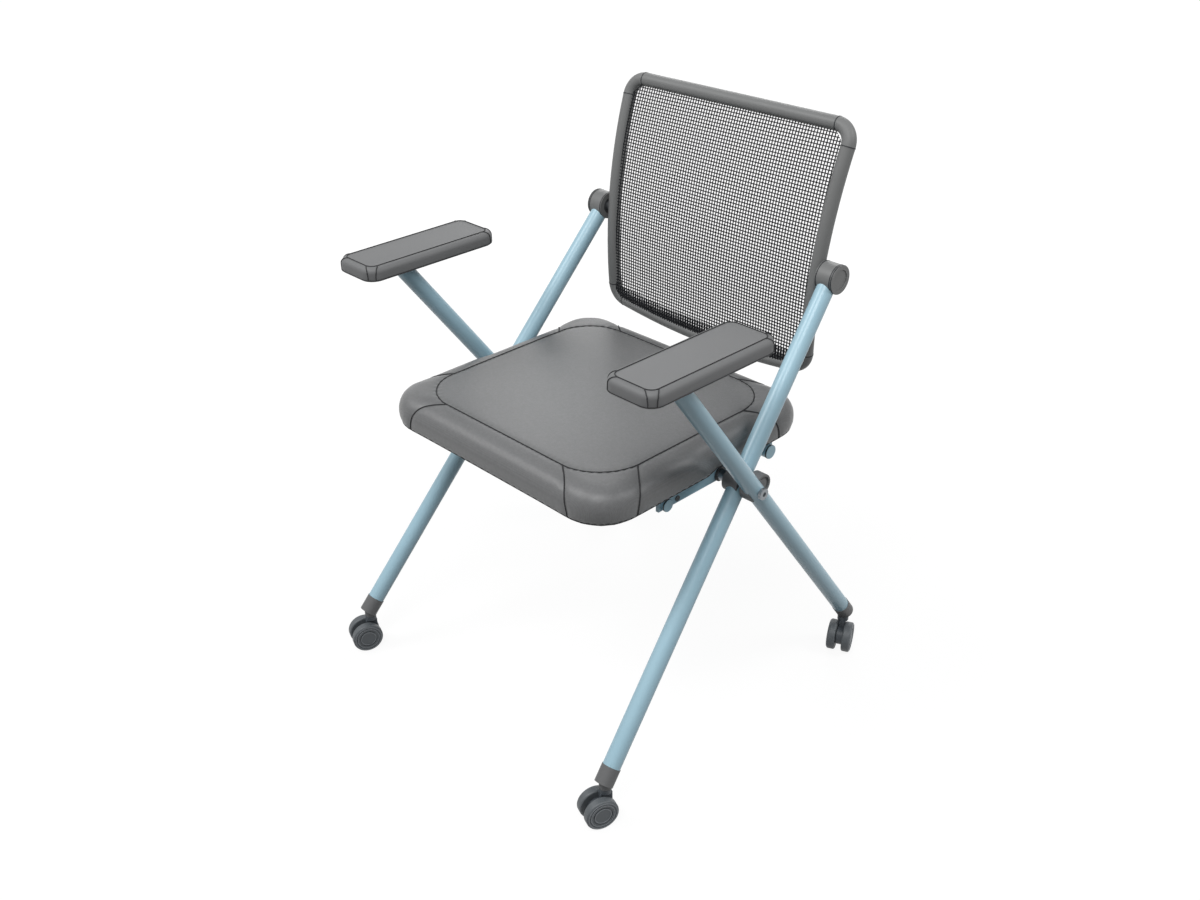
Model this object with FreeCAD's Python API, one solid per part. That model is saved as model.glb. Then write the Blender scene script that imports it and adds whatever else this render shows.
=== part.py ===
# Mesh-back nesting chair on an X-shaped tube frame with casters.
# Lengths are millimetres, angles degrees. The chair faces -Y; left and right are as seen from the
# front, so right is +X. Heights are from the floor. Depths are from the leg pivot axis, and the
# last step moves everything to the middle of the chair's plan.
import FreeCAD, Part
import math
import os

V = FreeCAD.Vector
X, Z = V(1, 0, 0), V(0, 0, 1)
SIDES = {"left": -1, "right": 1}

# Clearances
FIT = 0.05            # radial, pins and plugs in their holes
GAP = 0.3             # between pieces that only face each other
TUBE_SPACE = 1.5      # free width between the crossing leg tubes
SEAT_SIDE_GAP = 1.7   # between the cushion and the front-leg tubes
SEAT_BACK_GAP = 17.7  # between the cushion and the back's bottom rail
SWING_GAP = 1.2       # between an upright of the back and its hinge drum

# Leg tubes
PIVOT_Z = 391.0         # height of the axis where the legs cross
TUBE_R = 12.5
TUBE_WALL = 1.5
FRONT_LEAN = 40.7       # front-leg tube, back from upright
FRONT_SPLAY = 4.8       # front-leg tube, outward going down
REAR_LEAN = 37.0        # rear-leg tube, forward from upright

# Pivot hubs
HUB_WALL = 3.5          # hub beyond the tube that it holds
FRONT_HUB_IN = 16.0     # front hub, from the tube's middle towards the seat
FRONT_HUB_OUT = 9.0     # front hub, from the tube's middle outwards
REAR_HUB_OUT = 4.0      # rear hub, from the tube's middle outwards
AXLE_R = 8.0
BOLT_R = 5.0
BOLT_HEAD_R = 8.0
BOLT_HEAD_H = 4.5
BOLT_SOCKET_R = 3.2
BOLT_SOCKET_DEPTH = 2.5
BOLT_GRIP = 25.0        # bolt length inside the axle
SPACER_R = 9.0

# Hinge drums of the back
BACK_HINGE_RISE = 229.0   # hinge axis above the leg pivot
DRUM_R = 20.2
DRUM_LEN = 24.0
DRUM_CAP = 4.0
CAP_DISH_R = 14.0
CAP_DISH = 1.0
PIN_R = 8.0
PIN_END_GAP = 2.0
BUSH_WALL = 4.0

# Back frame and net
BACK_TUBE_R = 10.0
BACK_FLARE = 2.0        # uprights, outward going up
BACK_CURVE_R = 720.0    # side-view curve of the uprights
BACK_CURVE_DROP = 81.0  # from the hinge down to where the curve stands upright
BACK_RISE = 165.0       # from the hinge up to the upper bends
BACK_DROP = 121.0       # from the hinge down to the lower bends
BACK_BEND_R = 25.0
BACK_RAIL_DIP = 8.0     # slope of the bottom rail where it leaves the bends
NET_T = 1.2
NET_FORWARD = 4.0       # net in front of the frame's middle
NET_FOOT_GAP = 1.0      # room over the dipped bottom rail
NET_COLS = 17
NET_ROWS = 17
NET_CORD = 3.0
NET_BORDER = 4.0

# Seat
SEAT_RISE = 22.7        # underside of the pan above the leg pivot
SEAT_HALF_W = 218.5
SEAT_DEPTH = 408.0
SEAT_CORNER_R = 64.0
SEAT_H = 34.0           # cushion height at the seam of its top panel
SEAT_SHOULDER = 34.0    # width of the rounded shoulder, from the side to the seam
SEAT_CROWN = 2.5
SEAT_CROWN_REACH = 120.0  # crown runs this far in from the seam
SEAT_DRAW_IN = 3.0      # sides drawn in at the pan
SEAT_DRAW_H = 6.0
SHOULDER_STEPS = 8
CROWN_STEPS = 4
PAN_T = 6.0
PAN_INSET = 4.5

# Seat underframe
RAIL_SIDE_GAP = 17.1    # rail to the front hub
RAIL_T = 5.0
RAIL_DROP = 8.5         # lower edge of a rail below the leg pivot
RAIL_MARGIN = 5.0       # rail beyond the bars at its ends
FLANGE_W = 15.0
FLANGE_T = 3.0
BAR_DROP = 2.0          # bars and rod below the leg pivot
BAR_WALL = 1.5
BAR_CAP = 3.0
FRONT_BAR_R = 8.5
FRONT_BAR_Y = -106.0
FRONT_BAR_PROUD = 5.0   # bar end beyond the rail
REAR_BAR_R = 10.0
REAR_BAR_Y = 96.0
REAR_BAR_PROUD = 10.5
ROD_R = 4.0
ROD_Y = -84.0
ROD_PROUD = 1.0
RAIL_BUSH_WALL = 2.5
RAIL_BUSH_PROUD = 2.0
STOP_SIDE_GAP = 7.5     # stop arm to the rail
STOP_T = 5.0
STOP_H = 9.5
STOP_COLLAR_WALL = 5.0
STOP_REACH = 7.0        # arm beyond the rod's middle
PAN_SCREWS = 3          # on each rail
PAN_SCREW_MARGIN = 40.0
PAN_SCREW_R = 2.5
PAN_SCREW_HEAD_R = 4.5
PAN_SCREW_HEAD_H = 3.0
PAN_SCREW_BITE = 4.5    # thread inside the pan

# Arms
ARM_RISE = 220.0        # underside of a pad above the leg pivot
PAD_LEN = 224.0
PAD_AHEAD = 75.0        # pad in front of its tube's middle
PAD_W = 81.0
PAD_T = 20.0
PAD_CORNER_R = 20.0
PAD_ROUND_R = 8.0
PLATE_LEN = 130.0
PLATE_AHEAD = 39.0      # plate in front of its tube's middle
PLATE_W = 36.0
PLATE_T = 4.0
ARM_SCREW_MARGIN = 13.0
ARM_SCREW_R = 2.0
ARM_SCREW_HEAD_R = 4.0
ARM_SCREW_HEAD_H = 2.5
ARM_SCREW_LEN = 11.0

# Casters
WHEEL_R = 23.5
WHEEL_W = 12.3
WHEEL_EDGE = 2.5
WHEEL_SIDE_GAP = 0.7    # wheel to the fork
RING_INSETS = (5.0, 9.7)  # groove rings, in from the tread
RING_W = 1.5
RING_DEPTH = 1.2
HUB_SKIN = 1.5          # closed outer face over the wheel's bore
SPINDLE_R = 2.5
TRAIL = 11.0
FORK_T = 9.0
FORK_EYE_R = 14.0
NECK_CLEAR = 1.5        # neck above the wheels
NECK_H = 7.2
BOSS_R = 8.5
BOSS_H = 11.0           # boss foot up to the leg's middle line
STEM_R = 3.0
STEM_CLEAR = 10.0       # stem foot above the spindle
STEM_INTO = 7.0         # stem top above the leg's middle line
SLEEVE_WALL = 0.7       # sleeve proud of the tube
SLEEVE_LEN = 25.0
PLUG_LEN = 22.0
SWIVEL_AT = 20.0        # swivel axis crosses the leg this far below the tube
CASTER_TURN = {"front_left": -20.0, "front_right": -20.0,
               "rear_left": -12.0, "rear_right": 25.0}


def tan(deg):
    return math.tan(math.radians(deg))


def sin(deg):
    return math.sin(math.radians(deg))


def rod(start, end, radius):
    """Solid round bar between two points."""
    run = end - start
    return Part.makeCylinder(radius, run.Length, start, run)


def pipe(start, end, radius, wall):
    """Hollow round tube between two points."""
    return rod(start, end, radius).cut(rod(start, end, radius - wall))


def x_rod(x0, x1, radius, y, z):
    """Round bar along X, whichever way round the ends are given."""
    return rod(V(min(x0, x1), y, z), V(max(x0, x1), y, z), radius)


def x_ring(x0, x1, radius, bore, y, z):
    return x_rod(x0, x1, radius, y, z).cut(x_rod(x0, x1, bore, y, z))


def block(x0, x1, y0, y1, z0, z1):
    low = V(min(x0, x1), y0, z0)
    return Part.makeBox(abs(x1 - x0), y1 - y0, z1 - z0, low)


def round_rect(x0, x1, y0, y1, radius, z):
    """Rounded rectangle in a level plane, as four lines and four arcs."""
    k = radius * (1 - math.sqrt(0.5))
    corners = [
        (V(x1 - radius, y0, z), V(x1 - k, y0 + k, z), V(x1, y0 + radius, z)),
        (V(x1, y1 - radius, z), V(x1 - k, y1 - k, z), V(x1 - radius, y1, z)),
        (V(x0 + radius, y1, z), V(x0 + k, y1 - k, z), V(x0, y1 - radius, z)),
        (V(x0, y0 + radius, z), V(x0 + k, y0 + k, z), V(x0 + radius, y0, z)),
    ]
    edges = []
    for here, after in zip(corners, corners[1:] + corners[:1]):
        edges.append(Part.Arc(*here).toShape())
        edges.append(Part.LineSegment(here[2], after[0]).toShape())
    return Part.Wire(edges)


def slab(x0, x1, y0, y1, radius, z0, z1):
    """Flat plate with rounded plan corners."""
    return Part.Face(round_rect(x0, x1, y0, y1, radius, z0)).extrude(V(0, 0, z1 - z0))


# Levels and places that follow from the sizes above
HUB_R = TUBE_R + HUB_WALL
PAN_FOOT_Z = PIVOT_Z + SEAT_RISE
PAN_TOP_Z = PAN_FOOT_Z + PAN_T
CUSHION_FOOT_Z = PAN_TOP_Z + GAP
SEAM_Z = CUSHION_FOOT_Z + SEAT_H
WIDEST_Z = CUSHION_FOOT_Z + SEAT_DRAW_H
BAR_Z = PIVOT_Z - BAR_DROP
PAD_FOOT_Z = PIVOT_Z + ARM_RISE
PAD_TOP_Z = PAD_FOOT_Z + PAD_T
BACK_HINGE_Z = PIVOT_Z + BACK_HINGE_RISE
NECK_FOOT_Z = 2 * WHEEL_R + NECK_CLEAR
BOSS_FOOT_Z = NECK_FOOT_Z + NECK_H + GAP
SWIVEL_Z = BOSS_FOOT_Z + BOSS_H
STEM_FOOT_Z = WHEEL_R + SPINDLE_R + STEM_CLEAR
STEM_TOP_Z = SWIVEL_Z + STEM_INTO
FRONT_X = (SEAT_HALF_W + SEAT_SIDE_GAP + TUBE_R / math.cos(math.radians(FRONT_SPLAY))
           + (WIDEST_Z - PIVOT_Z) * tan(FRONT_SPLAY))
REAR_X = FRONT_X + 2 * TUBE_R + TUBE_SPACE
AXLE_HALF = FRONT_X - FRONT_HUB_IN
REAR_HUB_X = REAR_X - TUBE_R + 2 * GAP
BOLT_SEAT_X = REAR_X + TUBE_R + GAP
RAIL_OUT = AXLE_HALF - RAIL_SIDE_GAP
RAIL_IN = RAIL_OUT - RAIL_T
STOP_OUT = RAIL_IN - STOP_SIDE_GAP
RAIL_FRONT = FRONT_BAR_Y - FRONT_BAR_R - RAIL_MARGIN
RAIL_BACK = REAR_BAR_Y + REAR_BAR_R + RAIL_MARGIN


def front_at(side, z):
    """Point on a front-leg tube's middle line at a height."""
    up = z - PIVOT_Z
    return V(side * (FRONT_X - up * tan(FRONT_SPLAY)), up * tan(FRONT_LEAN), z)


def rear_at(side, z):
    """Point on a rear-leg tube's middle line at a height."""
    return V(side * REAR_X, -(z - PIVOT_Z) * tan(REAR_LEAN), z)


LEGS = {"front": front_at, "rear": rear_at}
ARM_Y = rear_at(1, PAD_FOOT_Z).y
PAD_FRONT_Y = ARM_Y - PAD_AHEAD
PLATE_FRONT_Y = ARM_Y - PLATE_AHEAD
PLATE_BACK_Y = PLATE_FRONT_Y + PLATE_LEN
ARM_SCREW_YS = (PLATE_FRONT_Y + ARM_SCREW_MARGIN, PLATE_BACK_Y - ARM_SCREW_MARGIN)
BACK_HINGE_Y = front_at(1, BACK_HINGE_Z).y
DRUM_X = front_at(1, BACK_HINGE_Z).x - DRUM_LEN / 2
DRUM_END_X = DRUM_X + DRUM_LEN
BACK_HALF_W = DRUM_X - SWING_GAP - BACK_TUBE_R


def leg_foot(end, side):
    """Lower end of a leg tube, its downward direction and the swivel point below it."""
    leg = LEGS[end]
    swivel = leg(side, SWIVEL_Z)
    down = (swivel - leg(side, PIVOT_Z)).normalize()
    return swivel - down * SWIVEL_AT, down, swivel


def pivot_rod(x0, x1, radius):
    return x_rod(x0, x1, radius, 0, PIVOT_Z)


def hinge_rod(x0, x1, radius):
    return x_rod(x0, x1, radius, BACK_HINGE_Y, BACK_HINGE_Z)


# Front frame
def front_tube(side):
    """Leg tube from the caster up to the drum, whose curve its upper end follows."""
    top = front_at(side, BACK_HINGE_Z)
    tube = pipe(leg_foot("front", side)[0], top, TUBE_R, TUBE_WALL)
    tube = tube.cut(hinge_rod(top.x - 2 * TUBE_R, top.x + 2 * TUBE_R, DRUM_R))
    return tube.cut(pivot_rod(0, side * BOLT_SEAT_X, BOLT_R + FIT))


def front_leg_space(side):
    """Room that a front-leg tube takes in the pieces it passes through."""
    return rod(leg_foot("front", side)[0], front_at(side, BACK_HINGE_Z), TUBE_R + FIT)


def front_hub(side):
    """Barrel along the pivot axis, saddled over the front-leg tube."""
    hub = pivot_rod(side * AXLE_HALF, side * (FRONT_X + FRONT_HUB_OUT), HUB_R)
    return hub.cut(front_leg_space(side)).cut(pivot_rod(0, side * BOLT_SEAT_X, BOLT_R + FIT))


def cross_axle():
    """Axle between the hubs, tapped at both ends for the pivot bolts."""
    axle = pivot_rod(-AXLE_HALF, AXLE_HALF, AXLE_R)
    for side in SIDES.values():
        axle = axle.cut(pivot_rod(side * (AXLE_HALF - BOLT_GRIP), side * AXLE_HALF, BOLT_R))
    return axle


def pivot_bolt(side):
    """Shouldered bolt through both tubes, with a socket in its head."""
    bolt = pivot_rod(side * (AXLE_HALF - BOLT_GRIP), side * BOLT_SEAT_X, BOLT_R)
    head_end = BOLT_SEAT_X + BOLT_HEAD_H
    head = pivot_rod(side * BOLT_SEAT_X, side * head_end, BOLT_HEAD_R)
    socket = pivot_rod(side * (head_end - BOLT_SOCKET_DEPTH), side * head_end, BOLT_SOCKET_R)
    return bolt.fuse(head.cut(socket)).removeSplitter()


def spacer(side):
    """Saddle washer in the space between the crossing tubes."""
    washer = pivot_rod(side * FRONT_X, side * (REAR_HUB_X - GAP), SPACER_R)
    return washer.cut(front_leg_space(side)).cut(pivot_rod(0, side * REAR_HUB_X, BOLT_R + FIT))


def hinge_drum(side):
    drum = hinge_rod(side * DRUM_X, side * DRUM_END_X, DRUM_R)
    return drum.cut(hinge_rod(side * DRUM_X, side * DRUM_END_X, PIN_R + FIT + BUSH_WALL))


def drum_cap(side):
    """Dished cap closing the drum's outer end."""
    end = DRUM_END_X + DRUM_CAP
    cap = hinge_rod(side * DRUM_END_X, side * end, DRUM_R)
    return cap.cut(hinge_rod(side * (end - CAP_DISH), side * end, CAP_DISH_R))


def hinge_bush(side):
    """Bearing sleeve pressed into the drum."""
    bush = hinge_rod(side * DRUM_X, side * DRUM_END_X, PIN_R + FIT + BUSH_WALL)
    return bush.cut(hinge_rod(side * DRUM_X, side * DRUM_END_X, PIN_R + FIT))


def seat_stop(side):
    """Arm clamped on the axle, under the seat's stop rod."""
    ends = side * (STOP_OUT - STOP_T), side * STOP_OUT
    top = BAR_Z - ROD_R - GAP
    arm = block(*ends, ROD_Y - STOP_REACH, 0, top - STOP_H, top)
    arm = arm.fuse(pivot_rod(*ends, AXLE_R + STOP_COLLAR_WALL)).removeSplitter()
    return arm.cut(pivot_rod(*ends, AXLE_R + FIT))


# Rear frame
def rear_tube(side):
    """Leg tube from the caster up to the arm plate, notched for its hub."""
    over = rear_at(side, PAD_TOP_Z)
    tube = pipe(leg_foot("rear", side)[0], over, TUBE_R, TUBE_WALL)
    reach = PAD_T + 2 * TUBE_R
    above = block(over.x - reach, over.x + reach, over.y - reach, over.y + reach,
                  PAD_FOOT_Z, PAD_TOP_Z + reach)
    hub_end = REAR_X + REAR_HUB_OUT
    tube = tube.cut(above).cut(pivot_rod(0, side * (hub_end + FIT), HUB_R + FIT))
    return tube.cut(pivot_rod(0, side * (BOLT_SEAT_X + BOLT_HEAD_H), BOLT_R + FIT))


def rear_hub(side):
    """Barrel set into the inner flank of the rear-leg tube, turning on the bolt."""
    ends = side * REAR_HUB_X, side * (REAR_X + REAR_HUB_OUT)
    return pivot_rod(*ends, HUB_R).cut(pivot_rod(*ends, BOLT_R + FIT))


def arm_plate(side):
    """Plate across the top of the rear-leg tube, let into the pad's underside."""
    x = side * REAR_X
    plate = block(x - PLATE_W / 2, x + PLATE_W / 2, PLATE_FRONT_Y, PLATE_BACK_Y,
                  PAD_FOOT_Z, PAD_FOOT_Z + PLATE_T)
    for y in ARM_SCREW_YS:
        plate = plate.cut(rod(V(x, y, PAD_FOOT_Z), V(x, y, PAD_TOP_Z), ARM_SCREW_R + FIT))
    return plate


def arm_pad(side):
    """Pad with rounded plan corners and a rounded upper edge."""
    x = side * REAR_X
    pad = slab(x - PAD_W / 2, x + PAD_W / 2, PAD_FRONT_Y, PAD_FRONT_Y + PAD_LEN, PAD_CORNER_R,
               PAD_FOOT_Z, PAD_TOP_Z)
    rim = [e for e in pad.Edges if e.BoundBox.ZMin > PAD_TOP_Z - FIT]
    pad = pad.makeFillet(PAD_ROUND_R, rim)
    pad = pad.cut(block(x - PLATE_W / 2 - GAP, x + PLATE_W / 2 + GAP, PLATE_FRONT_Y - GAP,
                        PLATE_BACK_Y + GAP, PAD_FOOT_Z, PAD_FOOT_Z + PLATE_T + FIT))
    screw_top = PAD_FOOT_Z + ARM_SCREW_LEN
    for y in ARM_SCREW_YS:
        pad = pad.cut(rod(V(x, y, PAD_FOOT_Z), V(x, y, screw_top), ARM_SCREW_R + FIT))
    return pad


def arm_screw(side, y):
    x = side * REAR_X
    head = rod(V(x, y, PAD_FOOT_Z - ARM_SCREW_HEAD_H), V(x, y, PAD_FOOT_Z), ARM_SCREW_HEAD_R)
    shank = rod(V(x, y, PAD_FOOT_Z), V(x, y, PAD_FOOT_Z + ARM_SCREW_LEN), ARM_SCREW_R)
    return head.fuse(shank).removeSplitter()


# Back
CURVE_Z = BACK_HINGE_Z - BACK_CURVE_DROP
CURVE_Y = BACK_HINGE_Y + math.sqrt(BACK_CURVE_R ** 2 - BACK_CURVE_DROP ** 2)
BEND_TOP_Z = BACK_HINGE_Z + BACK_RISE
BEND_FOOT_Z = BACK_HINGE_Z - BACK_DROP


def upright_at(z):
    """Middle of the right-hand upright at a height."""
    y = CURVE_Y - math.sqrt(BACK_CURVE_R ** 2 - (z - CURVE_Z) ** 2)
    return V(BACK_HALF_W + (z - BACK_HINGE_Z) * tan(BACK_FLARE), y, z)


def upright_heading(z):
    """Upward direction of the right-hand upright at a height."""
    slope = (z - CURVE_Z) / math.sqrt(BACK_CURVE_R ** 2 - (z - CURVE_Z) ** 2)
    return V(tan(BACK_FLARE), slope, 1).normalize()


def bend(start, heading, leaving, radius):
    """Arc that turns one heading into another, and the point where it ends."""
    half_turn = heading.getAngle(leaving) / 2
    corner = start + heading * radius * math.tan(half_turn)
    end = corner + leaving * radius * math.tan(half_turn)
    inward = (leaving - heading).normalize()
    middle = corner + inward * radius * (1 / math.cos(half_turn) - 1)
    return Part.Arc(start, middle, end).toShape(), end


def half_loop():
    """Middle line of the frame's right half, from the top's centre to the bottom's."""
    top_start = upright_at(BEND_TOP_Z)
    foot_start = upright_at(BEND_FOOT_Z)
    top_bend, top_end = bend(top_start, upright_heading(BEND_TOP_Z), -X, BACK_BEND_R)
    leaving = V(-1, 0, -tan(BACK_RAIL_DIP)).normalize()
    foot_bend, foot_end = bend(foot_start, upright_heading(BEND_FOOT_Z) * -1, leaving,
                               BACK_BEND_R)
    upright = Part.Arc(top_start, upright_at((BEND_TOP_Z + BEND_FOOT_Z) / 2), foot_start)
    top = Part.LineSegment(V(0, top_end.y, top_end.z), top_end)
    rail_r = foot_end.x / sin(BACK_RAIL_DIP)
    rail_centre_z = foot_end.z + math.sqrt(rail_r ** 2 - foot_end.x ** 2)
    between = V(foot_end.x / 2, foot_end.y,
                rail_centre_z - math.sqrt(rail_r ** 2 - foot_end.x ** 2 / 4))
    lowest = V(0, foot_end.y, rail_centre_z - rail_r)
    rail = Part.Arc(foot_end, between, lowest)
    edges = [top.toShape(), top_bend, upright.toShape(), foot_bend, rail.toShape()]
    return Part.Wire(edges), V(0, top_end.y, top_end.z), lowest, foot_end


def back_loop(radius):
    """Round bar bent along the whole frame."""
    path, start = half_loop()[:2]
    section = Part.Wire(Part.Circle(start, X, radius).toShape())
    right = path.makePipeShell([section], True, False)
    return right.fuse(right.mirror(V(0, 0, 0), X)).removeSplitter()


def net_edge_z(tube, facing, room):
    """Height where the curved net stops beside a cross tube, above it or below it."""
    radius = BACK_CURVE_R + NET_FORWARD
    clear = BACK_TUBE_R + room + NET_T / 2
    away = math.hypot(CURVE_Y - tube.y, tube.z - CURVE_Z)
    turn = math.acos((away ** 2 + radius ** 2 - clear ** 2) / (2 * away * radius))
    along = math.asin((tube.z - CURVE_Z) / away) + facing * turn
    return CURVE_Z + radius * math.sin(along)


def net_side_x(z):
    """Half width of the net at a height, clear of the uprights."""
    clear = BACK_TUBE_R + GAP + NET_T / 2
    return upright_at(z).x - math.sqrt(clear ** 2 - NET_FORWARD ** 2)


def net_outline(top_z, foot_z, lowest_z):
    """Edge of the net in front view: straight sides and top, and a dipped foot."""
    radius = BACK_BEND_R - BACK_TUBE_R / 2
    up = V(tan(BACK_FLARE), 0, 1).normalize()
    leaving = V(-1, 0, -tan(BACK_RAIL_DIP)).normalize()
    top_corner = V(net_side_x(top_z), 0, top_z)
    foot_corner = V(net_side_x(foot_z), 0, foot_z)
    top_start = top_corner - up * radius * math.tan(up.getAngle(-X) / 2)
    foot_start = foot_corner + up * radius * math.tan((up * -1).getAngle(leaving) / 2)
    top_bend, top_end = bend(top_start, up, -X, radius)
    foot_bend, foot_end = bend(foot_start, up * -1, leaving, radius)
    right = Part.Wire([top_bend, Part.LineSegment(top_start, foot_start).toShape(), foot_bend])
    top = Part.LineSegment(V(-top_end.x, 0, top_z), top_end).toShape()
    foot = Part.Arc(foot_end, V(0, 0, lowest_z), V(-foot_end.x, 0, foot_end.z)).toShape()
    left = right.mirror(V(0, 0, 0), X)
    return Part.Wire(Part.__sortEdges__([top, foot] + right.Edges + left.Edges))


def net_gaps(half_w, low, high):
    """Square pattern of gaps between the net's cords."""
    col, row = 2 * half_w / NET_COLS, (high - low) / NET_ROWS
    half_cord = NET_CORD / 2
    gaps = []
    for i in range(NET_COLS):
        for j in range(NET_ROWS):
            x0, x1 = i * col - half_w + half_cord, (i + 1) * col - half_w - half_cord
            z0, z1 = low + j * row + half_cord, low + (j + 1) * row - half_cord
            gaps.append(Part.makePolygon([V(x0, 0, z0), V(x1, 0, z0), V(x1, 0, z1),
                                          V(x0, 0, z1), V(x0, 0, z0)]))
    return gaps


def back_net():
    """Curved net inside the frame, cut from one holed face."""
    top, lowest, foot_end = half_loop()[1:]
    top_z = net_edge_z(top, -1, GAP)
    foot_z = net_edge_z(foot_end, 1, NET_FOOT_GAP)
    lowest_z = net_edge_z(lowest, 1, NET_FOOT_GAP)
    outline = net_outline(top_z, foot_z, lowest_z)
    gaps = net_gaps(net_side_x(foot_z) - NET_BORDER, foot_z + NET_BORDER, top_z - NET_BORDER)
    net = Part.makeFace([outline] + gaps, "Part::FaceMakerCheese").extrude(V(0, CURVE_Y, 0))
    outer = BACK_CURVE_R + NET_FORWARD + NET_T / 2
    half_w = net_side_x(top_z) + BACK_TUBE_R
    return x_ring(-half_w, half_w, outer, outer - NET_T, CURVE_Y, CURVE_Z).common(net)


def back_pin(side, frame):
    """Stub axle on the upright, turning in the drum's bush."""
    pin = hinge_rod(side * BACK_HALF_W, side * (DRUM_END_X - PIN_END_GAP), PIN_R)
    return pin.cut(frame)


# Seat
SEAT_BACK_Y = half_loop()[2].y - BACK_TUBE_R - SEAT_BACK_GAP
SEAT_FRONT_Y = SEAT_BACK_Y - SEAT_DEPTH


def seat_outline(inset, z):
    """Plan outline of the seat, moved in by an inset; its corners keep one radius."""
    return round_rect(inset - SEAT_HALF_W, SEAT_HALF_W - inset, SEAT_FRONT_Y + inset,
                      SEAT_BACK_Y - inset, SEAT_CORNER_R, z)


def seat_cushion():
    """Cushion drawn in at the pan, round at the shoulder and slightly crowned on top."""
    levels = [(SEAT_DRAW_IN, CUSHION_FOOT_Z), (0, WIDEST_Z)]
    for step in range(1, SHOULDER_STEPS + 1):
        turn = math.pi / 2 * step / SHOULDER_STEPS
        levels.append((SEAT_SHOULDER * (1 - math.cos(turn)),
                       WIDEST_Z + (SEAM_Z - WIDEST_Z) * math.sin(turn)))
    for step in range(1, CROWN_STEPS + 1):
        share = step / CROWN_STEPS
        levels.append((SEAT_SHOULDER + SEAT_CROWN_REACH * share,
                       SEAM_Z + SEAT_CROWN * share * (2 - share)))
    return Part.makeLoft([seat_outline(inset, z) for inset, z in levels], True, True)


def pan_screw_spots():
    """Plan positions of the screws along both rail flanges."""
    x = RAIL_IN - FLANGE_W / 2
    first = RAIL_FRONT + PAN_SCREW_MARGIN
    pitch = (RAIL_BACK - PAN_SCREW_MARGIN - first) / (PAN_SCREWS - 1)
    return [(s * x, first + i * pitch) for s in SIDES.values() for i in range(PAN_SCREWS)]


def seat_pan():
    pan = Part.Face(seat_outline(PAN_INSET, PAN_FOOT_Z)).extrude(V(0, 0, PAN_T))
    for x, y in pan_screw_spots():
        pan = pan.cut(rod(V(x, y, PAN_FOOT_Z), V(x, y, PAN_FOOT_Z + PAN_SCREW_BITE),
                          PAN_SCREW_R + FIT))
    return pan


def seat_rail(side):
    """Angle under the pan that hangs on the axle, with the bars set into its lower edge."""
    inner, outer = side * RAIL_IN, side * RAIL_OUT
    web = block(inner, outer, RAIL_FRONT, RAIL_BACK, PIVOT_Z - RAIL_DROP, PAN_FOOT_Z)
    flange = block(side * (RAIL_IN - FLANGE_W), inner, RAIL_FRONT, RAIL_BACK,
                   PAN_FOOT_Z - FLANGE_T, PAN_FOOT_Z)
    rail = web.fuse(flange).removeSplitter()
    rail = rail.cut(pivot_rod(inner, outer, AXLE_R + FIT + RAIL_BUSH_WALL))
    for y, radius in ((FRONT_BAR_Y, FRONT_BAR_R), (REAR_BAR_Y, REAR_BAR_R), (ROD_Y, ROD_R)):
        rail = rail.cut(x_rod(inner, outer, radius + FIT, y, BAR_Z))
    for x, y in pan_screw_spots():
        rail = rail.cut(rod(V(x, y, PAN_FOOT_Z - FLANGE_T), V(x, y, PAN_FOOT_Z),
                            PAN_SCREW_R + FIT))
    return rail


def rail_bush(side):
    """Bearing sleeve in the rail, running on the axle."""
    ends = side * (RAIL_IN - RAIL_BUSH_PROUD), side * (RAIL_OUT + RAIL_BUSH_PROUD)
    return pivot_rod(*ends, AXLE_R + FIT + RAIL_BUSH_WALL).cut(pivot_rod(*ends, AXLE_R + FIT))


def seat_bar(y, radius, proud):
    """Cross tube under the pan, between its end caps."""
    half = RAIL_OUT + proud - BAR_CAP
    return x_ring(-half, half, radius, radius - BAR_WALL, y, BAR_Z)


def bar_cap(side, y, radius, proud):
    end = RAIL_OUT + proud
    return x_rod(side * (end - BAR_CAP), side * end, radius, y, BAR_Z)


def stop_rod():
    half = RAIL_OUT + ROD_PROUD
    return x_rod(-half, half, ROD_R, ROD_Y, BAR_Z)


def pan_screw(x, y):
    flange_foot = PAN_FOOT_Z - FLANGE_T
    head = rod(V(x, y, flange_foot - PAN_SCREW_HEAD_H), V(x, y, flange_foot), PAN_SCREW_HEAD_R)
    shank = rod(V(x, y, flange_foot), V(x, y, PAN_FOOT_Z + PAN_SCREW_BITE), PAN_SCREW_R)
    return head.fuse(shank).removeSplitter()


# Casters
def caster_socket(end, side):
    """Plug and sleeve on the tube's end, level below, with an upright boss for the stem."""
    foot, down, swivel = leg_foot(end, side)
    sleeve = rod(foot, foot + down * SLEEVE_LEN, TUBE_R + SLEEVE_WALL)
    plug = rod(foot - down * PLUG_LEN, foot, TUBE_R - TUBE_WALL - FIT)
    boss_foot = V(swivel.x, swivel.y, BOSS_FOOT_Z)
    body = sleeve.fuse([plug, rod(boss_foot, swivel, BOSS_R)]).removeSplitter()
    below = block(swivel.x - SLEEVE_LEN, swivel.x + SLEEVE_LEN, swivel.y - SLEEVE_LEN,
                  swivel.y + SLEEVE_LEN, BOSS_FOOT_Z - SLEEVE_LEN, BOSS_FOOT_Z)
    return body.cut(below).cut(rod(boss_foot, V(swivel.x, swivel.y, STEM_TOP_Z), STEM_R + FIT))


def caster_stem(end, side):
    swivel = leg_foot(end, side)[2]
    return rod(V(swivel.x, swivel.y, STEM_FOOT_Z), V(swivel.x, swivel.y, STEM_TOP_Z), STEM_R)


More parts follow.
